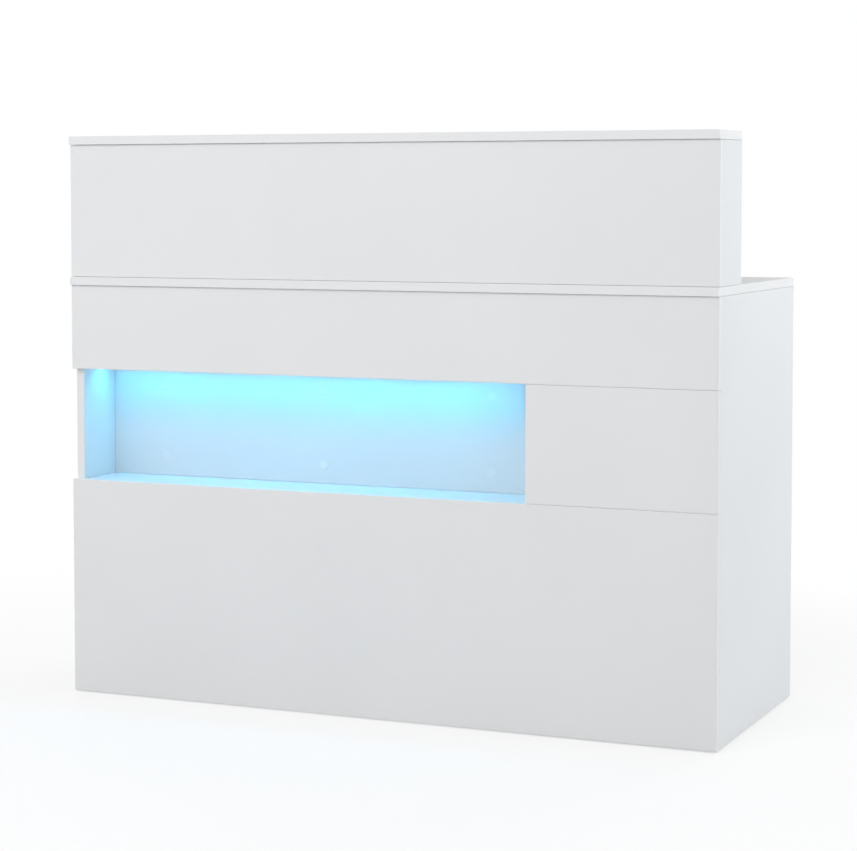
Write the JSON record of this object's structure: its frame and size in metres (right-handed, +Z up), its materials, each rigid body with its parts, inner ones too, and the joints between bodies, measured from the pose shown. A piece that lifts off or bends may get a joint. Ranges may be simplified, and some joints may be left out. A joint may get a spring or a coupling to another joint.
{
  "type": "reception desk",
  "caption": "White reception desk with a raised counter, a lit display niche facing visitors, and a pedestal with lockable drawers and a hinged cupboard on the staff side.",
  "frame": {"origin": "on the floor, under the middle of the desk's box, handles included", "axes": "+X to the visitor's right along the desk, +Y from the visitor to the receptionist, +Z up"},
  "size_m": [1.2, 0.498, 1],
  "materials": {
    "white_board": "satin white board with white edge band",
    "drawer_board": "matt white drawer board",
    "white_plastic": "satin white plastic",
    "grey_plastic": "fine-grained grey plastic",
    "light_strip": "clear silicone over cyan diodes",
    "satin_metal": "satin nickel",
    "zinc_steel": "bright zinc plate"
  },
  "bodies": {
    "desk": {"left_side_panel": "white_board", "right_side_panel": "white_board", "pedestal_side": "white_board", "desktop": "white_board", "counter_front_panel": "white_board", "counter_left_end": "white_board", "counter_right_end": "white_board", "counter_divider": "white_board", "counter_top": "white_board", "fascia_panel": "white_board", "lower_front_panel": "white_board", "right_front_panel": "white_board", "niche_floor": "white_board", "niche_ceiling": "white_board", "niche_back": "white_board", "pedestal_floor": "white_board", "pedestal_divider": "white_board", "pedestal_plinth": "white_board", "cupboard_shelf": "white_board", "glide_1": "white_plastic", "glide_2": "white_plastic", "glide_3": "white_plastic", "glide_4": "white_plastic", "cam_cover_1": "white_plastic", "cam_cover_2": "white_plastic", "cam_cover_3": "white_plastic", "cam_cover_4": "white_plastic", "cam_cover_5": "white_plastic", "cam_cover_6": "white_plastic", "led_strip": "light_strip", "led_lead": "white_plastic", "led_controller": "grey_plastic", "upper_left_rail": "zinc_steel", "upper_right_rail": "zinc_steel", "lower_left_rail": "zinc_steel", "lower_right_rail": "zinc_steel", "upper_hinge_wall_leaf": "satin_metal", "lower_hinge_wall_leaf": "satin_metal"},
    "upper_drawer": {"upper_drawer_front": "white_board", "upper_drawer_left_side": "drawer_board", "upper_drawer_right_side": "drawer_board", "upper_drawer_back": "drawer_board", "upper_drawer_bottom": "drawer_board", "upper_left_slide": "zinc_steel", "upper_right_slide": "zinc_steel", "upper_drawer_handle": "satin_metal", "lock_housing": "satin_metal"},
    "lower_drawer": {"lower_drawer_front": "white_board", "lower_drawer_left_side": "drawer_board", "lower_drawer_right_side": "drawer_board", "lower_drawer_back": "drawer_board", "lower_drawer_bottom": "drawer_board", "lower_left_slide": "zinc_steel", "lower_right_slide": "zinc_steel", "lower_drawer_handle": "satin_metal"},
    "drawer_lock": {"lock_plug": "satin_metal"},
    "cupboard_door": {"cupboard_door": "white_board", "door_handle": "satin_metal", "upper_hinge_door_leaf": "satin_metal", "lower_hinge_door_leaf": "satin_metal"}
  },
  "joints": [
    {"name": "upper_drawer_slide", "type": "slide", "parent": "desk", "child": "upper_drawer", "axis": [0, 1, 0], "range_m": [0, 0.3]},
    {"name": "lower_drawer_slide", "type": "slide", "parent": "desk", "child": "lower_drawer", "axis": [0, 1, 0], "range_m": [0, 0.3]},
    {"name": "lock_turn", "type": "hinge", "parent": "upper_drawer", "child": "drawer_lock", "pos_m": [0.435, 0.2233, 0.705], "axis": [0, -1, 0], "range_deg": [0, 90]},
    {"name": "door_swing", "type": "hinge", "parent": "desk", "child": "cupboard_door", "pos_m": [0.5834, 0.2245, 0.2495], "axis": [0, 0, -1], "range_deg": [0, 110]}
  ]
}
